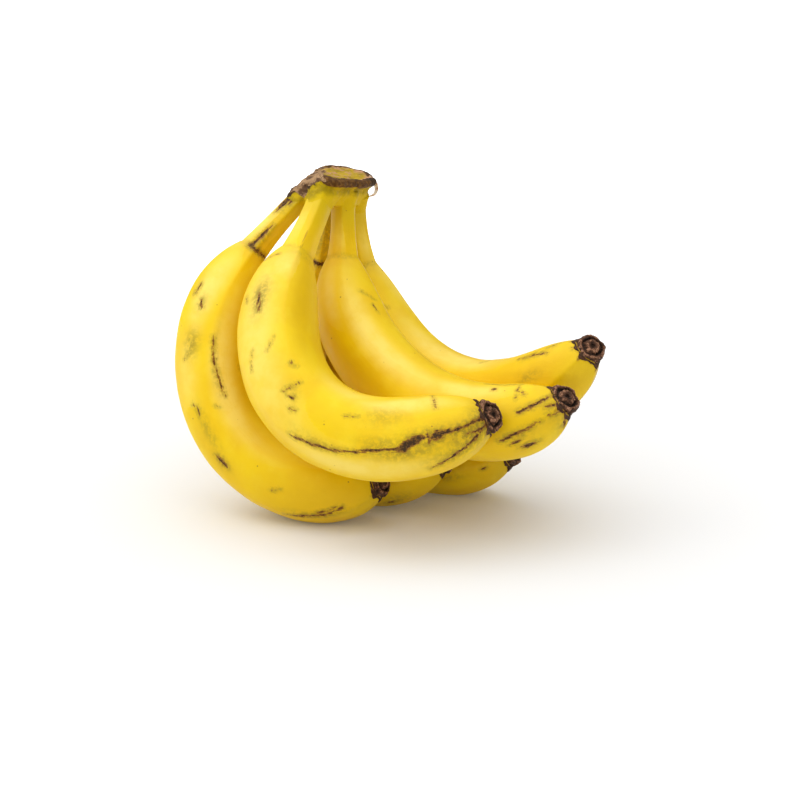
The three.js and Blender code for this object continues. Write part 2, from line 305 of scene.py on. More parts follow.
def scatterStrokes():
    rule = unseenStrokes
    chance = np.random.RandomState(rule["seed"])
    for name, finger in fingers.items():
        for _ in range(rule["count"]):
            s = chance.uniform(*rule["along"])
            u = (s - finger["stalkLength"]) / finger["bodyLength"]
            ridge = finger["ridges"][chance.randint(1, 4)] + finger["twist"] * u * u
            angle = ridge + chance.normal(0, rule["offRidge"])
            length = chance.uniform(*rule["lengths"]) * chance.uniform(*rule["shortened"])
            wide = chance.uniform(*rule["widths"])
            bend = chance.normal(0, rule["bend"])
            first, last = rule["ends"]
            if rule["unseen"][0] < angle % 360 < rule["unseen"][1]:
                points = [(s, angle), (s + length / 2, angle + bend), (s + length, angle)]
                strokes[name].append((points, (first, wide, last)))
        for _ in range(scratches["count"]):
            s = chance.uniform(*scratches["along"])
            angle = chance.uniform(0, 360)
            stop = s + chance.uniform(*scratches["lengths"])
            points = [(s, angle), (stop, angle + chance.normal(0, scratches["slant"]))]
            ends = scratches["ends"]
            strokes[name].append((points, (ends, chance.uniform(*scratches["widths"]), ends)))


scatterStrokes()

# Soft smudges, and painted shade in the ring at each neck (the short, wide ones about 40 to 45 mm from
# the root): distance from the root, degrees round, length, width, strength.
smudgesAndNeckShade = {
    "finger_1": [
        (75, 250, 11, 5.5, 0.75), (176, 299, 14, 6, 0.32), (214, 240, 14, 8, 0.6), (191, 261, 12, 6, 0.5),
        (45, 305, 3, 9, 0.25), (150, 243, 14, 3, 0.4), (205, 228, 15, 6, 0.5), (126, 275, 6, 5, 0.3),
        (212, 262, 12, 4, 0.9), (222, 256, 8, 9, 1), (214, 246, 12, 4, 0.8), (186, 246, 18, 4, 0.6),
        (176, 262, 12, 3.5, 0.5), (196, 262, 16, 6, 0.7),
    ],
    "finger_2": [
        (203, 268, 9, 3, 0.4), (191, 228, 10, 4, 0.45), (194, 199, 6, 4, 0.6), (210, 240, 6, 8, 0.4),
        (2, 280, 7, 9, 0.35), (209, 190, 6, 6, 0.35),
    ],
    "finger_3": [
        (194.5, 283, 8, 4, 0.5), (199, 322, 13, 2.5, 0.45), (218, 160, 10, 4, 0.6), (42, 300, 3, 8, 0.3),
    ],
    "finger_4": [
        (100, 257, 8, 5.5, 0.6), (142, 259, 13, 3.5, 0.45), (80, 256, 6, 4, 0.35), (158, 248, 6, 4, 0.45),
        (206, 231, 16, 3, 0.5), (12, 253, 12, 4, 0.6), (37, 274, 10, 3.5, 0.6), (110, 297, 20, 2, 0.4),
        (44, 300, 3, 10, 0.6), (75, 234, 5, 3, 0.4),
    ],
    "finger_5": [(204, 196, 9, 6, 0.5), (40, 300, 3.5, 9, 0.7), (22, 270, 30, 16, 0.5)],
    "finger_6": [(204.5, 234, 9, 3, 0.5), (152, 82, 12, 5, 0.4)],
}

# Painted sheen on the skin where light falls, written in the same way, or painted shade, a deeper amber,
# where the strength is below 0.
paintedSheenAndShade = {
    "finger_1": [
        (95, 248, 60, 15, 0.8), (185, 318, 32, 6, 1), (165, 222, 38, 8, 0.9), (22, 232, 24, 6, 0.6),
        (55, 272, 14, 9, 0.8), (150, 330, 30, 8, 0.6), (110, 120, 60, 12, 0.6), (170, 60, 40, 10, 0.6),
        (75, 318, 40, 7, -1), (209, 262, 20, 10, -1), (20, 300, 25, 6, -1), (150, 275, 20, 9, -0.4),
    ],
    "finger_2": [
        (100, 303, 62, 8, 1), (165, 308, 30, 7, 0.9), (58, 265, 24, 6, 0.7), (20, 290, 22, 5, 0.5),
        (120, 30, 60, 12, 0.6), (130, 130, 50, 12, 0.5), (182, 262, 30, 10, -0.9), (205, 235, 20, 10, -1),
        (105, 255, 40, 7, -0.6), (12, 330, 20, 5, -1),
    ],
    "finger_3": [
        (130, 345, 55, 9, 1), (55, 20, 40, 8, 0.7), (28, 350, 22, 6, 0.6), (120, 90, 60, 12, 0.6),
        (160, 40, 40, 10, 0.6), (190, 285, 60, 12, -1), (214, 230, 25, 14, -1), (20, 30, 22, 5, -0.8),
    ],
    "finger_4": [
        (122, 309, 60, 8, 1), (74, 256, 26, 9, 1), (112, 248, 30, 10, 0.6), (28, 225, 26, 6, 0.9),
        (100, 180, 60, 12, 0.6), (150, 120, 50, 12, 0.5), (31, 290, 25, 6, -0.9), (148, 245, 25, 8, -0.8),
        (205, 255, 36, 14, -0.9),
    ],
    "finger_5": [(110, 60, 60, 12, 0.6), (90, 180, 50, 12, 0.6)],
    "finger_6": [(110, 80, 60, 12, 0.7), (90, 150, 50, 12, 0.6), (160, 110, 40, 12, 0.5)],
}

noStroke = -6.0  # mm, the depth where no stroke is near


# How far inside a stroke each point is, in mm; below 0 outside it.
def strokeDepth(name, stations, angles, radii):
    depth = np.full(radii.shape, noStroke)
    for points, widths in strokes[name]:
        total = len(points) - 1
        for k in range(total):
            (s0, a0), (s1, a1) = points[k], points[k + 1]
            x = (stations - s0)[:, None]
            y = np.radians(shortWay(angles - a0)) * radii
            bx = s1 - s0
            by = np.radians(shortWay(a1 - a0)) * radii
            t = np.clip((x * bx + y * by) / (bx * bx + by * by), 0, 1)
            away = np.hypot(x - t * bx, y - t * by)
            width = np.interp((k + t) / total, (0, 0.5, 1), widths)
            depth = np.maximum(depth, width / 2 - away)
    return depth


def softSpots(spots, stations, angles, radii):
    amount = np.zeros(radii.shape)
    for s, a, length, width, strength in spots:
        x = (stations - s)[:, None] / length
        y = np.radians(shortWay(angles - a)) * radii / width
        spot = strength * np.exp(-1.4 * (x * x + y * y))
        amount = np.where(np.abs(spot) > np.abs(amount), spot, amount)
    return amount


def addLayer(mesh, label, values):
    vectors = values.shape[-1] == 3
    layer = mesh.attributes.new(label, "FLOAT_VECTOR" if vectors else "FLOAT", "POINT")
    layer.data.foreach_set("vector" if vectors else "value", values.astype(np.float32).ravel())


# A closed skin over rings of points, with a point in the middle of each end.
def skinMesh(name, rings, firstMiddle, lastMiddle, attributes):
    count, sides = rings.shape[:2]
    vertices = np.vstack([rings.reshape(-1, 3), firstMiddle, lastMiddle]) * mm
    r, i = np.meshgrid(np.arange(count - 1), np.arange(sides), indexing="ij")
    j = (i + 1) % sides
    quads = np.stack([r * sides + i, (r + 1) * sides + i, (r + 1) * sides + j, r * sides + j], -1)
    first, last = count * sides, count * sides + 1
    top = (count - 1) * sides
    ends = [(first, k, (k + 1) % sides) for k in range(sides)]
    ends += [(last, top + (k + 1) % sides, top + k) for k in range(sides)]
    mesh = bpy.data.meshes.new(name)
    mesh.from_pydata(vertices.tolist(), [], quads.reshape(-1, 4).tolist() + ends)
    for label, values in attributes.items():
        flat = values.reshape(count * sides, -1)
        addLayer(mesh, label, np.vstack([flat, flat[:sides].mean(0), flat[-sides:].mean(0)]))
    mesh.shade_smooth()
    return mesh


def addObject(name, data):
    made = bpy.data.objects.new(name, data)
    bpy.context.scene.collection.objects.link(made)
    return made


def addPiece(name, mesh, material, slotName, *nodes):
    piece = addObject(name, mesh)
    mesh.materials.append(material)
    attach(piece, "root")
    if nodes:
        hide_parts(*nodes)


def peelRings(name, stations, sides, grow=0.0):
    finger = fingers[name]
    angles = np.arange(sides) * 360 / sides
    middle, along, side, inside = middleLine(finger, stations)
    u = np.clip((stations - finger["stalkLength"]) / finger["bodyLength"], 0, 1)
    share, fromRidge = sectionOutline(finger, u, angles)
    radii = girthAt(finger, stations)[:, None] * share
    c, n = np.cos(np.radians(angles)), np.sin(np.radians(angles))
    outward = c[None, :, None] * inside[:, None] + n[None, :, None] * side[:, None]
    points = middle[:, None] + (radii + grow)[..., None] * outward
    return points, outward, radii, np.radians(fromRidge) * radii, angles, u, middle


# How far from the root the peel ends.
def peelEnd(finger):
    return finger["stalkLength"] + finger["bodyLength"] - peelShape["blossomDepth"]


def fingerMesh(name):
    shape = peelShape
    finger = fingers[name]
    seed = int(name[-1])
    start, end = crownShape["peelStart"], peelEnd(finger)
    stations = np.linspace(start, end, int((end - start) / shape["step"]) + 1)
    points, outward, radii, ridgeGap, angles, u, middle = peelRings(name, stations, shape["sides"])
    fromNeck = stations - finger["stalkLength"]
    push = sum(height * softNoise(points, size, seed * 3.7) for size, height in shape["lumps"])
    push *= mix(shape["lumpsOnStalk"], 1, smoothstep(fromNeck, -10, 25))[:, None]
    crest = mix(*shape["crestHeight"], np.abs(2 * u - 1) ** 3)
    nearRidge = np.exp(-((ridgeGap / shape["crestWidth"]) ** 2))
    push += crest[:, None] * nearRidge * patchy(points, *shape["crestPatches"], seed)
    far, length = shape["creaseWander"]
    wander = far * softNoise(points, length, seed + 0.5)
    for place, deep in shape["neckCreases"]:
        away = (fromNeck[:, None] - place - wander) / shape["creaseWidth"]
        push -= deep * np.exp(-away * away) * patchy(points, *shape["creasePatches"], seed + place)
    marks = strokeDepth(name, stations, angles, radii)
    push -= shape["markDent"] * smoothstep(marks, -0.6, 0.4)
    points = points + push[..., None] * outward
    low, ease = points[..., 2], shape["floorEase"]
    points[..., 2] = np.where(low < ease, ease * np.exp(np.clip((low - ease) / ease, -40, 0)), low)

    def allRound(values):
        return values[:, None] + 0 * radii

    c, n = np.cos(np.radians(angles)), np.sin(np.radians(angles))
    strands = allRound(stations * shape["grainStretch"] + seed * 40)
    attributes = {
        "marks": marks,
        "smudgeAndNeckShade": softSpots(smudgesAndNeckShade[name], stations, angles, radii),
        "paintedSheen": softSpots(paintedSheenAndShade[name], stations, angles, radii),
        "ridge": nearRidge,
        "fromTip": allRound(end - stations),
        "fromCrown": allRound(stations),
        "fromNeck": allRound(fromNeck),
        "grain": np.stack([c * radii, n * radii, strands], -1),
    }
    return skinMesh(name, points, middle[0], middle[-1], attributes)


blossomShape = {
    # how far out along the end, and how wide there: base, brim, groove, button
    "profile": (
        (-0.4, 0.86), (-0.1, 0.95), (0.5, 0.98), (1.4, 0.99), (2.4, 0.98), (3.3, 0.93), (3.9, 0.84),
        (4, 0.75), (3.3, 0.67), (2.7, 0.61), (3, 0.54), (4.1, 0.49), (4.8, 0.4), (5, 0.28),
        (4.7, 0.16), (3.9, 0.1), (3.7, 0.03),
    ),
    # how wide the face is there, over what span, and how high: brim, button, groove, middle
    "raised": ((0.84, 0.09, 0.45), (0.38, 0.1, 0.45), (0.61, 0.07, -0.8), (0.08, 0.08, -0.5)),
    "rings": 84,
    "sides": 132,
    "lobes": ((5, 0.05, 1), (3, 0.03, 2)),  # how many round, how high, and how each is turned
    "spokes": (11, 0.16),
    "flakes": ((3, 0.2), (1.5, 0.3), (0.8, 0.24)),  # size and height
    "raggedReach": (0.3, 1.9),  # how far the dried edge runs back over the peel
    "alongRidges": (0.6, 1.6),  # how much further it runs there, and how near them
    # the dried edge, outward from under the peel: share of its reach, height over the peel
    "edge": ((1, -0.7), (1, 0.12), (0.82, 0.34), (0.5, 0.42), (0.22, 0.4)),
    "edgeRoughness": (0.14, 0.9),  # height and size
}


def blossomMesh(name):
    shape = blossomShape
    seed = int(name[-1])
    sides = shape["sides"]
    end = peelEnd(fingers[name])
    a = np.radians(np.arange(sides) * 360 / sides)
    edge, _, _, ridgeGap, _, _, _ = peelRings(name, np.array([end]), sides)
    middle, along, side, inside = (v[0] for v in middleLine(fingers[name], np.array([end])))
    radius = np.linalg.norm(edge[0] - middle, axis=1)
    circle = np.stack([np.cos(a), np.sin(a), np.zeros(sides)], 1)
    ragged = 0.5 + 0.5 * softNoise(circle * 9, 2.2, seed) + 0.25 * softNoise(circle * 9, 0.8, seed)
    further, near = shape["alongRidges"]
    ragged += further * np.exp(-((ridgeGap[0] / near) ** 2))
    reach = mix(*shape["raggedReach"], np.clip(ragged, 0, 1.3))
    profile = np.array(shape["profile"])
    steps = np.hypot(*(np.diff(profile, axis=0) * (1, radius.mean())).T)
    knots = np.append(0, np.cumsum(steps))
    t = np.linspace(0, knots[-1], shape["rings"])
    out, wide = (np.interp(t, knots, column) for column in profile.T)
    turned = np.radians(fingers[name]["blossomTurn"]) * np.clip(out / profile[:, 0].max(), 0, 1)

    def turnedBy(angle, first, second):
        return np.cos(angle)[:, None] * first + np.sin(angle)[:, None] * second

    centre = middle + out[:, None] * turnedBy(turned / 2, along, -side)
    width = turnedBy(turned, side, along)
    facing = turnedBy(turned, along, -side)
    lobes = sum(high * np.cos(count * a + turn * seed) for count, high, turn in shape["lobes"])
    rounded = mix(radius, radius.mean(), smoothstep(out, 0, 3)[:, None])
    reachOut = wide[:, None] * rounded * (1 + lobes * smoothstep(out, 0, 2)[:, None])
    around = np.cos(a)[:, None] * inside + np.sin(a)[:, None] * width[:, None]
    points = centre[:, None] + reachOut[..., None] * around
    outward = unit(around + 0.8 * smoothstep(out, 2.5, 5)[:, None, None] * facing[:, None])
    rough = np.zeros(points.shape[:2])
    for size, high in shape["flakes"]:
        rough += high * (0.6 - 2 * np.abs(softNoise(points, size, seed * 5.3)))
    count, high = shape["spokes"]
    spokes = high * np.cos(count * a + 3 * softNoise(circle * 5, 3, seed))
    rough += spokes * (smoothstep(wide, 0.3, 0.7) * smoothstep(out, 2, 4))[:, None]
    rough *= (np.clip(wide / 0.25, 0.2, 1) * mix(0.15, 1, smoothstep(out, -0.4, 0.8)))[:, None]
    points = points + rough[..., None] * outward
    # the dried edge lies over the peel and tucks in under it
    high, size = shape["edgeRoughness"]
    each = np.arange(sides)
    backs = []
    for share, grow in shape["edge"]:
        ring = peelRings(name, end - reach * share, sides, grow)[0][each, each]
        away = ring - middle
        away = unit(away - (away @ along)[:, None] * along)
        uneven = high * softNoise(ring, size, seed) * (grow > 0)
        backs.append(ring + uneven[:, None] * away)
    points = np.concatenate([np.array(backs), points[2:]])
    raised = sum(high * np.exp(-(((wide - at) / spread) ** 2)) for at, spread, high in shape["raised"])
    relief = rough + (smoothstep(out, 2, 3.2) * raised)[:, None]
    relief = np.concatenate([np.zeros((len(backs) - 2, sides)), relief])
    return skinMesh(name, points, middle - along * reach.mean(), points[-1].mean(0), {"relief": relief})


crownShape = {
    "points": 200,
    "cutAt": (-35, 55, 164.8),
    "cutTowards": (0.2, 0.1, 1),
    "scarAt": (-66, 12, 164.6),
    "scarTowards": (-0.42, -0.3, 1),
    # how far each ring lies below the cut, stands clear of the stalks, and draws in at the front
    "rings": (
        (15, -2, 0), (13, -1.2, 0), (11, -0.2, 0), (9, 0.5, 0.3), (7.4, 0.8, 1.2), (6.2, 1.1, 2.6),
        (5.4, 1.7, 4.2), (4.7, 2.6, 5.6), (3.9, 3.3, 6.1), (2.9, 3.7, 6.2), (1.9, 3.9, 6.3),
        (1, 3.8, 6.4), (0.3, 3.3, 6.4), (0, 2.6, 6.4),
    ),
    # how far in over the cut face each ring lies, and how deep it has shrunk there
    "hollow": (
        (0.94, 0), (0.88, 0.35), (0.8, 0.7), (0.66, 0.85), (0.48, 0.8), (0.3, 0.7), (0.12, 0.65),
    ),
    "front": -105,  # degrees round, where the outline draws in
    "lip": 1.2,  # how far the top leans ahead
    "collarLength": 12,
    "collarGrid": (40, 64),  # rings along, points round
    "collarThick": (0.35, 1.7, 0.7),  # all along, more at the root, less at its end
    "voxel": 0.5,
    "smoothing": 5,
    "peelStart": 4,  # the crown hides the stalks up to here
    "fleshFolds": ((4.2, 0.34), (2, 0.24), (1, 0.1)),  # size and height
    "scarFolds": ((3.6, 0.8), (1.7, 0.4)),
    "scarRelief": 0.8,
    "rimFolds": ((7, 0.9), (2.6, 0.5), (1.2, 0.15)),
    "underFolds": ((6, 0.35), (2.4, 0.25)),
}


def topOfCrown(x, y):
    def plane(at, towards):
        return at[2] - (towards[0] * (x - at[0]) + towards[1] * (y - at[1])) / towards[2]

    cut = plane(crownShape["cutAt"], crownShape["cutTowards"])
    scar = plane(crownShape["scarAt"], crownShape["scarTowards"])
    return cut, scar


def crownOutline(out, pulledBack, sides):
    roots = np.array([finger["root"][:2] for finger in fingers.values()], float)
    radii = np.array([finger["stalkRadius"] for finger in fingers.values()])
    angles = np.arange(sides) * 2 * np.pi / sides
    way = np.stack([np.cos(angles), np.sin(angles)], 1)
    reach = way @ roots.T + radii
    weights = np.exp((reach - reach.max(1)[:, None]) / 1.2)
    weights /= weights.sum(1)[:, None]
    front = np.clip(np.cos(angles - math.radians(crownShape["front"])), 0, 1) ** 2
    return weights @ roots + (weights @ radii + out - pulledBack * front)[:, None] * way


def crownMesh():
    shape = crownShape
    rings = []
    for drop, out, pulledBack in shape["rings"]:
        line = crownOutline(out, pulledBack, shape["points"])
        top = np.minimum(*topOfCrown(line[:, 0], line[:, 1])) - drop
        ahead = shape["lip"] * smoothstep(5 - drop, 0, 3)
        rings.append(np.stack([line[:, 0] + ahead, line[:, 1], top], 1))
    rim = rings[-1][:, :2]
    heart = rim.mean(0)
    for share, shrunk in shape["hollow"]:
        x, y = (heart + (rim - heart) * share).T
        rings.append(np.stack([x, y, np.minimum(*topOfCrown(x, y)) - shrunk], 1))
    rings = np.array(rings)[:, ::-1]
    parts = [skinMesh("cushion", rings, rings[0].mean(0), rings[-1].mean(0), {})]
    always, atRoot, atEnd = shape["collarThick"]
    alongCollar, roundCollar = shape["collarGrid"]
    for name in fingers:
        stations = np.linspace(0.5, shape["collarLength"], alongCollar)
        ring, outward, _, _, _, _, middle = peelRings(name, stations, roundCollar)
        thick = always + atRoot * np.exp(-stations / 4.5)
        thick -= atEnd * smoothstep(stations, 4, shape["collarLength"])
        ring = ring + thick[:, None, None] * outward
        top = np.minimum(*topOfCrown(ring[..., 0], ring[..., 1]))
        ring[..., 2] = np.minimum(ring[..., 2], top - 0.6)
        parts.append(skinMesh("collar", ring, middle[0] - (0, 0, 0.8), middle[-1], {}))
    lump = addObject("lump", joinMeshes(parts))
    remesh = lump.modifiers.new("remesh", "REMESH")
    remesh.mode = "VOXEL"
    remesh.voxel_size = shape["voxel"] * mm
    soften = lump.modifiers.new("soften", "SMOOTH")
    soften.factor = 0.5
    soften.iterations = shape["smoothing"]
    depsgraph = bpy.context.evaluated_depsgraph_get()
    mesh = bpy.data.meshes.new_from_object(lump.evaluated_get(depsgraph))
    mesh.name = "crown"
    bpy.data.objects.remove(lump)
    carveCrown(mesh)
    return mesh


def joinMeshes(parts):
    vertices, faces, start = [], [], 0
    for part in parts:
        vertices += [tuple(v.co) for v in part.vertices]
        faces += [[start + k for k in p.vertices] for p in part.polygons]
        start = len(vertices)
        bpy.data.meshes.remove(part)
    joined = bpy.data.meshes.new("joined")
    joined.from_pydata(vertices, [], faces)
    return joined


def readVectors(mesh, what):
    values = np.empty(len(mesh.vertices) * 3, np.float32)
    mesh.vertices.foreach_get(what, values)
    return values.reshape(-1, 3).astype(float)


# Relief on the crown: a fibrous cut face, a dried rim, a torn scar, folds below.
def carveCrown(mesh):
    shape = crownShape
    points = readVectors(mesh, "co") / mm
    normals = readVectors(mesh, "normal")
    cut, scar = topOfCrown(points[:, 0], points[:, 1])
    drop = np.minimum(cut, scar) - points[:, 2]
    onTop = smoothstep(normals[:, 2], 0.6, 0.85) * smoothstep(-drop, -2.6, -1.4)
    # the scar runs down over the root of the lower row's front finger
    root = np.array(fingers["finger_4"]["root"], float)
    toRoot = np.linalg.norm((points - root)[:, :2], axis=1)
    wander = 2.6 * softNoise(points, 5, 3.3) + 1.2 * softNoise(points, 2, 6.1)
    torn = smoothstep(cut - scar + wander, -1.6, 0.6) * smoothstep(-drop, -3.0, -1.5)
    outside = smoothstep((points - root) @ np.array([-0.6, -0.8, 0]), -2.5, 2)
    torn = np.maximum(torn, smoothstep(-toRoot, -10, -8) * smoothstep(-drop, -12, -7) * outside)
    # how near each point is to the edge of the cut
    heart = points[onTop > 0.5][:, :2].mean(0)
    _, out, pulledBack = shape["rings"][-1]
    line = crownOutline(out, pulledBack, 720) + (shape["lip"], 0) - heart
    bearing = np.degrees(np.arctan2(line[:, 1], line[:, 0]))
    order = np.argsort(bearing)
    spread = points[:, :2] - heart
    around = np.degrees(np.arctan2(spread[:, 1], spread[:, 0]))
    reach = np.interp(around, bearing[order], np.linalg.norm(line, axis=1)[order], period=360)
    edge = reach - np.linalg.norm(spread, axis=1)

    # sharp folds; the seed of each follows its height
    def folds(key, place=points):
        parts = ((high, softNoise(place, size, high * 9)) for size, high in shape[key])
        return sum(high * (1 - 2 * np.abs(part)) for high, part in parts)

    push = onTop * (1 - torn) * folds("fleshFolds") * smoothstep(edge, 0, 2.5)
    push += torn * folds("scarFolds") * shape["scarRelief"]
    rim = np.exp(-(((drop - 1.6) / 2.0) ** 2)) * (1 - onTop * smoothstep(edge, 1, 3)) * (1 - torn)
    push += rim * folds("rimFolds")
    below = smoothstep(drop, 4, 6) * (1 - torn)
    push += below * folds("underFolds", points * (1, 1, 0.35))
    push *= 1 - smoothstep(drop, 9, 12)
    points += push[:, None] * normals
    mesh.vertices.foreach_set("co", (points * mm).astype(np.float32).ravel())
    labels = {"drop": drop, "onTop": onTop, "torn": torn, "edge": edge, "relief": push}
    for label, values in labels.items():
        addLayer(mesh, label, values)
    mesh.shade_smooth()
    mesh.update()


# A papery strip of skin at the right corner of the cut.
shredShape = {
    "corner": (-37.5, 43.6, 164.4),
    "rightward": (0.866, 0.5, 0),
    "towards": (0.5, -0.866, 0),
    # along it: rightward and up from the corner, then its width
    "path": (
        (-1.6, 3.6, 0.9), (0.6, 1.6, 1.9), (2, -1, 2.2), (2.4, -3.8, 2), (1.2, -6.3, 1.6),
        (-1.8, -7.4, 0.5),
    ),
    "steps": 40,
    "smoothing": 6,
    "across": 7,
    "thick": 0.16,
    "bow": 0.9,
    "twist": 0.5,
    "curl": 0.175,
    "crumple": (0.12, 1.3),  # height and size
}


def shredMesh():
    shape = shredShape
    path = np.array(shape["path"])
    t = np.linspace(0, len(path) - 1, shape["steps"])
    rightward, up, wide = (np.interp(t, np.arange(len(path)), column) for column in path.T)
    for _ in range(shape["smoothing"]):
        for line in (rightward, up, wide):
            line[1:-1] = (line[:-2] + line[2:] + 2 * line[1:-1]) / 4
    flat, towards = np.array(shape["rightward"]), np.array(shape["towards"])
    bow = shape["bow"] * np.sin(t * 1.7)
    centre = np.array(shape["corner"]) + rightward[:, None] * flat + bow[:, None] * towards
    centre[:, 2] += up
    along = unit(np.gradient(centre, axis=0))
    twist = shape["twist"] * np.sin(t * 1.1 + 0.6)
    facing = np.cos(twist)[:, None] * towards + np.sin(twist)[:, None] * np.array([0, 0, 1.0])
    over = unit(np.cross(along, facing))
    rings = []
    for side in (1, -1):
        for k in np.linspace(-1, 1, shape["across"])[::side]:
            edge = centre + (k * wide / 2)[:, None] * over
            curl = shape["curl"] * (k * k) * wide[:, None] * facing
            rings.append(edge + curl + side * shape["thick"] / 2 * facing)
    rings = np.array(rings).transpose(1, 0, 2)
    high, size = shape["crumple"]
    rings += (high * softNoise(rings, size, 2.1))[..., None] * towards
    return skinMesh("papery shred", rings, centre[0], centre[-1], {})


def addNode(tree, kind, values=None, **settings):
    made = tree.nodes.new("ShaderNode" + kind)
    for name, value in settings.items():
        setattr(made, name, value)
    for name, value in (values or {}).items():
        if isinstance(value, bpy.types.NodeSocket):
            tree.links.new(value, made.inputs[name])
        else:
            made.inputs[name].default_value = value
    return made


def attribute(tree, name, output="Fac"):
    return addNode(tree, "Attribute", attribute_name=name).outputs[output]


# These find the node tree by their first socket.
def maths(operation, a, b=0.0):
    return addNode(a.id_data, "Math", {0: a, 1: b}, operation=operation).outputs[0]


def plus(a, b):
    return maths("ADD", a, b)


def minus(a, b):
    return maths("SUBTRACT", a, b)


def times(a, b):
    return maths("MULTIPLY", a, b)


def ramp(value, low, high, start=0.0, stop=1.0):
    values = {"Value": value, "From Min": low, "From Max": high, "To Min": start, "To Max": stop}
    return addNode(value.id_data, "MapRange", values, interpolation_type="SMOOTHSTEP").outputs[0]


def mixColour(amount, a, b):
    return addNode(amount.id_data, "Mix", {0: amount, 6: a, 7: b}, data_type="RGBA").outputs[2]


def noise(vector, scale, detail, rough, distortion=0.0):
    values = {"Vector": vector, "Scale": scale, "Detail": detail, "Roughness": rough}
    values["Distortion"] = distortion
    return addNode(vector.id_data, "TexNoise", values).outputs["Fac"]


# A value that noise moves up and down, by up to half of the amount.
def shaken(value, shake, amount):
    return plus(value, times(minus(shake, 0.5), amount))


# Coats of colour over a first one, each with a strength from start to stop as its source runs from
# low to high.
def layCoats(finish, sources, colour, coats):
    for source, low, high, start, stop, coat in coats:
        strength = ramp(sources[source], low, high, start, stop)
        colour = mixColour(strength, colour, finish[coat])
    return colour


def newMaterial(name, values):
    material = bpy.data.materials.new(name)
    material.use_nodes = True
    tree = material.node_tree
    tree.nodes.clear()
    shader = addNode(tree, "BsdfPrincipled", values)
    addNode(tree, "OutputMaterial", {"Surface": shader.outputs[0]})
    place = addNode(tree, "TexCoord").outputs["Object"]
    return material, tree, shader, place


def setSurface(tree, shader, finish, colour, rough, height):
    strength, distance = finish["bump"]
    bump = addNode(tree, "Bump", {"Height": height, "Strength": strength, "Distance": distance})
    tree.links.new(colour, shader.inputs["Base Color"])
    tree.links.new(rough, shader.inputs["Roughness"])
    tree.links.new(bump.outputs[0], shader.inputs["Normal"])


peelFinish = {
    "pale": (0.93, 0.69, 0.03, 1),
    # painted sheen where light falls, and painted shade in amber
    "paintedSheen": (0.95, 0.72, 0.13, 1),
    "paintedShade": (0.77, 0.48, 0, 1),
    "yellow": (0.89, 0.61, 0.001, 1),
    "deep": (0.85, 0.545, 0, 1),
    "stalk": (0.68, 0.47, 0, 1),
    "olive": (0.25, 0.17, 0.01, 1),
    "rust": (0.3, 0.11, 0.01, 1),
    "mark": (0.035, 0.013, 0.006, 1),
    "tip": (0.05, 0.024, 0.014, 1),
    # noise over the whole peel: scale, detail and roughness
    "clouds": (38, 3, 0.55),
    "patches": (120, 3, 0.6),
    "smudgeGrain": (420, 4, 0.7),
    "mottling": (620, 3, 0.65),
    "fine": (900, 3, 0.6),
    "strands": (0.9, 3, 0.6),  # along the finger
    "ground": (
        ("clouds", 0.38, 0.62, 0, 1, "yellow"),
        ("patches", 0.45, 0.8, 0, 0.45, "pale"),
        ("strands", 0.5, 0.75, 0, 0.18, "deep"),
    ),
    "stalkward": (15, 38),  # mm from the root, over which the stalk's dull colour fades out
    "tipward": (3, 17),  # mm from the tip
    "flecks": 210,
    "fleckStrength": 0.75,
    "wornStrength": 0.55,
    "raggedEdge": (2.4, 3.4, 1.8),  # mm that noise moves the edge of a mark: coarse, in strands, fine
    "roughness": (0.42, 0.54),
    "gloss": {"Specular IOR Level": 0.42, "Specular Tint": (1, 0.93, 0.55, 1)},
    "bump": (0.32, 0.00035),
}


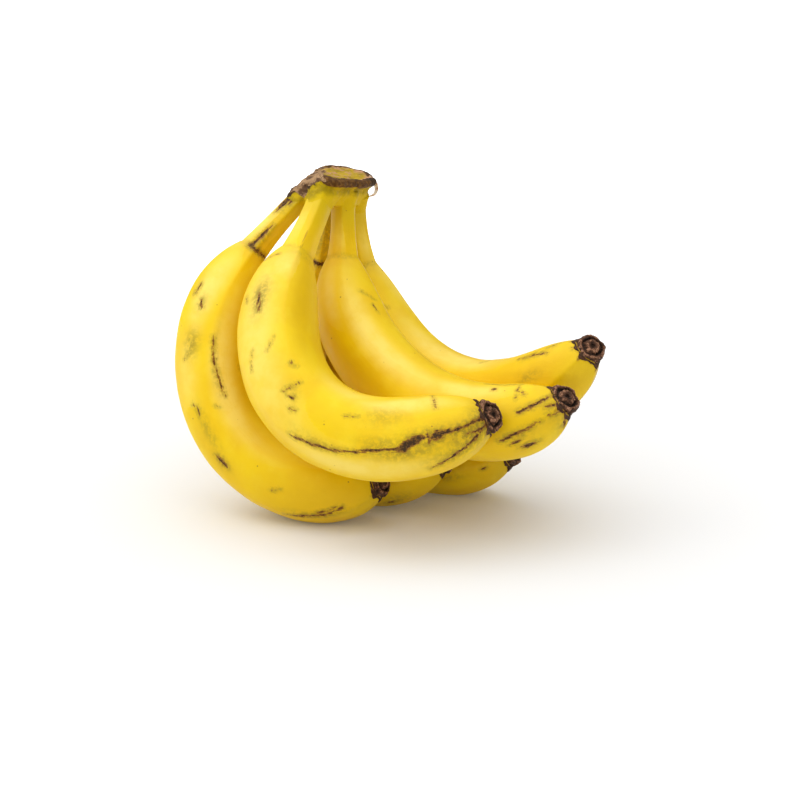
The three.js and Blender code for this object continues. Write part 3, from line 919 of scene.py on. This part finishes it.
def peelMaterial():
    finish = peelFinish
    material, tree, shader, place = newMaterial("banana peel", finish["gloss"])
    grain = attribute(tree, "grain", "Vector")
    labels = ("marks", "smudgeAndNeckShade", "paintedSheen", "ridge")
    marks, smudgeAndNeckShade, paintedSheen, ridge = (attribute(tree, label) for label in labels)
    fromTip, fromCrown = attribute(tree, "fromTip"), attribute(tree, "fromCrown")
    fromNeck = attribute(tree, "fromNeck")
    clouds = noise(place, *finish["clouds"])
    patches = noise(place, *finish["patches"])
    fine = noise(place, *finish["fine"])
    strands = noise(grain, *finish["strands"])
    sources = {"clouds": clouds, "patches": patches, "strands": strands}
    colour = layCoats(finish, sources, finish["deep"], finish["ground"])

    def under(amount, coat):
        return mixColour(amount, colour, finish[coat])

    # painted sheen where light falls on the skin, and painted shade in amber where it doesn't
    uneven = ramp(patches, 0.25, 0.65, 0.6, 1)
    for strongest, coat in ((1, "paintedSheen"), (-1, "paintedShade")):
        amount = times(ramp(paintedSheen, 0, strongest), uneven)
        colour = under(amount, coat)
    # the stalk is duller than the body, and so is the tip, a little
    stalkward = ramp(plus(fromCrown, times(patches, 12)), *finish["stalkward"], 1, 0)
    colour = under(stalkward, "stalk")
    tipward = ramp(plus(fromTip, times(clouds, 10)), *finish["tipward"], 0.5, 0)
    colour = under(tipward, "stalk")
    # smudges, and the painted shade of the neck rings, broken up by fine grain
    grainy = ramp(noise(place, *finish["smudgeGrain"]), 0.36, 0.6, 0.35, 1.15)
    colour = under(times(smudgeAndNeckShade, grainy), "olive")
    # small flecks of brown, gathered in a few places
    cells = addNode(tree, "TexVoronoi", {"Vector": place, "Scale": finish["flecks"], "Randomness": 1.0})
    pick = addNode(tree, "SeparateColor", {0: cells.outputs["Color"]}).outputs[0]
    gathered = ramp(clouds, 0.42, 0.56, 0, finish["fleckStrength"])
    chosen = times(ramp(pick, 0.8, 0.84), gathered)
    fleck = times(ramp(cells.outputs["Distance"], 0.05, 0.13, 1, 0), chosen)
    colour = under(fleck, "rust")
    # worn brown along some lengths of the ridges
    worn = times(ridge, ramp(noise(grain, 0.11, 4, 0.65), 0.6, 0.7))
    colour = under(ramp(worn, 0.55, 0.95, 0, finish["wornStrength"]), "rust")
    # marks: a dark heart with a rusty edge, broken up by noise
    depth = marks
    edges = (noise(place, 260, 3, 0.6), noise(grain, 1.1, 4, 0.7), noise(place, 900, 4, 0.7))
    for moved, edge in zip(finish["raggedEdge"], edges):
        depth = shaken(depth, edge, moved)
    halo = times(ramp(depth, -2.6, -0.3, 0, 0.4), grainy)
    colour = under(halo, "olive")
    colour = under(ramp(depth, -0.5, 0.05, 0, 0.9), "rust")
    mottled = ramp(noise(place, *finish["mottling"]), 0.36, 0.56, 0.5, 1)
    dark = times(ramp(depth, -0.05, 0.5), mottled)
    colour = under(dark, "mark")
    # the dried edge behind the blossom end runs back along the ridges
    reach = plus(fromTip, times(noise(place, 300, 4, 0.7), 5))
    reach = minus(reach, times(ridge, 2.2))
    dried = ramp(reach, 1.5, 2.6, 1, 0)
    colour = under(ramp(reach, 2, 4.2, 0.6, 0), "rust")
    colour = under(dried, "tip")
    # a little olive brown in the creases at the neck, a painted shade
    neck = plus(maths("ABSOLUTE", fromNeck), times(patches, 5))
    neckCreaseShade = times(ramp(neck, 2.2, 5.2, 0.28, 0), ramp(fine, 0.4, 0.6, 0.4, 1))
    colour = under(neckCreaseShade, "olive")
    damage = maths("MAXIMUM", dark, dried)
    rough = plus(ramp(patches, 0.3, 0.7, *finish["roughness"]), times(damage, 0.25))
    height = plus(times(fine, 0.25), times(strands, 0.9))
    height = minus(height, times(damage, 1.1))
    height = plus(height, times(patches, 0.5))
    setSurface(tree, shader, finish, colour, rough, height)
    return material


blossomFinish = {
    "dark": (0.012, 0.006, 0.004, 1),
    "brown": (0.09, 0.036, 0.018, 1),
    # pink: a painted highlight on the crests of the relief
    "pinkHighlight": (0.5, 0.25, 0.14, 1),
    "coarse": (330, 4, 0.7, 0.6),
    "fine": (1400, 3, 0.7),
    "roughness": (0.35, 0.75),
    "gloss": {"Specular IOR Level": 0.25, "Specular Tint": (1, 0.78, 0.6, 1)},
    "bump": (0.8, 0.0008),
}


def blossomMaterial():
    finish = blossomFinish
    material, tree, shader, place = newMaterial("dried blossom", finish["gloss"])
    coarse = noise(place, *finish["coarse"])
    fine = noise(place, *finish["fine"])
    raised = shaken(attribute(tree, "relief"), coarse, 2.4)
    # dark brown, darker in the hollows of the relief, a painted shade; pink on its crests, a painted
    # highlight
    colour = mixColour(ramp(raised, -0.6, 0.35), finish["dark"], finish["brown"])
    crest = times(ramp(raised, 0.15, 0.6), ramp(fine, 0.4, 0.56))
    colour = mixColour(times(crest, 0.8), colour, finish["pinkHighlight"])
    rough = ramp(fine, 0.3, 0.7, *finish["roughness"])
    setSurface(tree, shader, finish, colour, rough, plus(coarse, times(fine, 0.5)))
    return material


crownFinish = {
    "flesh": (0.5, 0.33, 0.015, 1),
    "olive": (0.3, 0.2, 0.01, 1),
    "fibre": (0.52, 0.27, 0.15, 1),
    "pit": (0.1, 0.045, 0.016, 1),
    "rim": (0.075, 0.028, 0.006, 1),
    "rimPale": (0.24, 0.115, 0.03, 1),
    "black": (0.03, 0.015, 0.008, 1),
    "scar": (0.4, 0.24, 0.12, 1),
    "scarDark": (0.12, 0.06, 0.03, 1),
    "skin": (0.33, 0.23, 0, 1),
    "stalk": peelFinish["stalk"],
    # brown spots, and painted shade in the hollows of the folds
    "spotsAndFoldShade": (0.13, 0.07, 0.006, 1),
    "paper": (0.78, 0.66, 0.5, 1),
    "broad": (75, 3, 0.6),
    "patches": (170, 4, 0.65),
    "grit": (420, 4, 0.7),
    "fine": (900, 3, 0.65),
    # below the cut: olive skin with brown spots, and painted shade in the hollows of its folds
    "skinCoats": (
        ("patches", 0.42, 0.7, 0, 0.6, "stalk"),
        ("grit", 0.6, 0.72, 0, 0.6, "spotsAndFoldShade"),
        ("relief", -0.35, 0, 0.8, 0, "spotsAndFoldShade"),
        ("below", 7.5, 12, 0, 1, "stalk"),
    ),
    # the cut face, fibrous, with dark pits
    "faceCoats": (
        ("broad", 0.42, 0.58, 0, 1, "flesh"),
        ("patches", 0.5, 0.58, 0, 0.9, "fibre"),
        ("inside", 4.5, 8, 0.7, 0, "fibre"),
        ("grit", 0.6, 0.72, 0, 0.85, "pit"),
    ),
    # the dried rim round it
    "rimCoats": (
        ("grit", 0.42, 0.66, 0, 0.8, "rimPale"),
        ("broad", 0.48, 0.58, 0, 0.85, "black"),
    ),
    # the torn scar
    "scarCoats": (
        ("patches", 0.46, 0.58, 0, 1, "scarDark"),
        ("grit", 0.55, 0.66, 0, 0.8, "black"),
    ),
    "roughness": (0.55, 0.8),
    "gloss": {"Specular IOR Level": 0.25, "Specular Tint": (1, 0.9, 0.6, 1)},
    "bump": (0.6, 0.0007),
}


def crownMaterial():
    finish = crownFinish
    material, tree, shader, place = newMaterial("crown", finish["gloss"])
    labels = ("drop", "onTop", "torn", "edge", "relief")
    drop, onTop, torn, edge, relief = (attribute(tree, label) for label in labels)
    sources = {key: noise(place, *finish[key]) for key in ("broad", "patches", "grit", "fine")}
    patches, grit = sources["patches"], sources["grit"]
    sources["relief"] = relief
    sources["below"] = plus(drop, times(patches, 3))
    sources["inside"] = plus(edge, times(grit, 6))
    skin = layCoats(finish, sources, finish["skin"], finish["skinCoats"])
    face = layCoats(finish, sources, finish["olive"], finish["faceCoats"])
    rim = layCoats(finish, sources, finish["rim"], finish["rimCoats"])
    scar = layCoats(finish, sources, finish["scar"], finish["scarCoats"])
    inward = ramp(shaken(edge, patches, 5), 1.6, 2.6)
    colour = mixColour(times(inward, onTop), rim, face)
    colour = mixColour(ramp(shaken(drop, patches, 7), 2.9, 3.8), colour, skin)
    colour = mixColour(ramp(shaken(torn, patches, 1.4), 0.38, 0.55), colour, scar)
    rough = ramp(grit, 0.3, 0.7, *finish["roughness"])
    height = plus(grit, times(sources["fine"], 0.4))
    setSurface(tree, shader, finish, colour, rough, height)
    return material


def shredMaterial():
    material, tree, shader, place = newMaterial("papery shred", {"Roughness": 0.7})
    patches = noise(place, 500, 3, 0.6)
    colour = mixColour(ramp(patches, 0.4, 0.65), crownFinish["paper"], crownFinish["fibre"])
    tree.links.new(colour, shader.inputs["Base Color"])
    return material


peel = peelMaterial()
blossom = blossomMaterial()
for name in fingers:
    number = name[-1]
    addPiece("peel_" + number, fingerMesh(name), peel, "peel", name)
    end = "blossom_end_" + number
    addPiece("dried_end_" + number, blossomMesh(name), blossom, "dried_blossom", end)
print("fingers and blossom ends made")

addPiece("crown_of_the_hand", crownMesh(), crownMaterial(), "crown", "crown")
addPiece("crown_shred", shredMesh(), shredMaterial(), "crown")
print("crown made")

studio = {
    "floor": {"Base Color": (0.8, 0.8, 0.8, 1), "Roughness": 0.9, "Emission Color": (1, 1, 1, 1)},
    "floorSize": 80,
    "floorDrop": 0.0002,
    # far off, the floor glows into a white backdrop: metres away, and strength
    "glowFrom": (0.12, 0.85),
    "farGlow": (0.06, 0.65),
    "azimuth": 30,
    "elevation": 15,
    "distance": 0.75,
    "lookAt": (0.0315, -0.046, 0.0736),
    "lens": 70,
    # a broad soft light overhead, leaning a little towards the camera
    "skyLean": (-0.2, 0.15, 1),  # rightward, towards the camera and up
    "skySpread": (0.2, 0.95),
    "skyStrength": (0.14, 1.76),
    "windowAt": (-0.9, 1.2, -0.1),  # rightward, up and towards the camera from the hand
    "windowSize": 0.8,
    "windowPower": 2.4,
    "windowColour": (1, 0.99, 0.96),
}

floorMesh = bpy.data.meshes.new("floor")
half = studio["floorSize"] / 2
corners = [(-half, -half, 0), (half, -half, 0), (half, half, 0), (-half, half, 0)]
floorMesh.from_pydata(corners, [], [(0, 1, 2, 3)])
floorMaterial, floorTree, floorShader, floorPlace = newMaterial("pale floor", studio["floor"])
away = addNode(floorTree, "VectorMath", {0: floorPlace}, operation="LENGTH").outputs["Value"]
floorGlow = ramp(away, *studio["glowFrom"], *studio["farGlow"])
floorTree.links.new(floorGlow, floorShader.inputs["Emission Strength"])
floorMesh.materials.append(floorMaterial)
floor = addObject("floor", floorMesh)
floor.location.z = -studio["floorDrop"]

azimuth, elevation = math.radians(studio["azimuth"]), math.radians(studio["elevation"])
target = Vector(studio["lookAt"])
levelBack = Vector((math.sin(azimuth), -math.cos(azimuth), 0))
toRight = Vector((math.cos(azimuth), math.sin(azimuth), 0))
upright = Vector((0, 0, 1))
back = levelBack * math.cos(elevation) + upright * math.sin(elevation)

rightward, upward, towardsCamera = studio["windowAt"]
lightData = bpy.data.lights.new("window", "AREA")
lightData.size = studio["windowSize"]
lightData.energy = studio["windowPower"]
lightData.color = studio["windowColour"]
window = addObject("window", lightData)
window.location = target + rightward * toRight + upward * upright + towardsCamera * back
window.rotation_euler = (target - window.location).to_track_quat("-Z", "Y").to_euler()

world = bpy.data.worlds.new("studio")
world.use_nodes = True
sky = world.node_tree.nodes["Background"]
sky.inputs["Color"].default_value = (1, 1, 1, 1)
rightward, towardsCamera, upward = studio["skyLean"]
skyAxis = (rightward * toRight + towardsCamera * levelBack + upward * upright).normalized()
outward = addNode(world.node_tree, "TexCoord").outputs["Generated"]
facing = addNode(world.node_tree, "VectorMath", {0: outward, 1: skyAxis}, operation="DOT_PRODUCT")
glow = ramp(facing.outputs["Value"], *studio["skySpread"], *studio["skyStrength"])
world.node_tree.links.new(glow, sky.inputs["Strength"])
bpy.context.scene.world = world
bpy.context.scene.view_settings.view_transform = "Standard"

cameraData = bpy.data.cameras.new("camera")
cameraData.lens = studio["lens"]
camera = addObject("camera", cameraData)
camera.location = target + studio["distance"] * back
camera.rotation_euler = (-back).to_track_quat("-Z", "Y").to_euler()
bpy.context.scene.camera = camera
print("studio set")
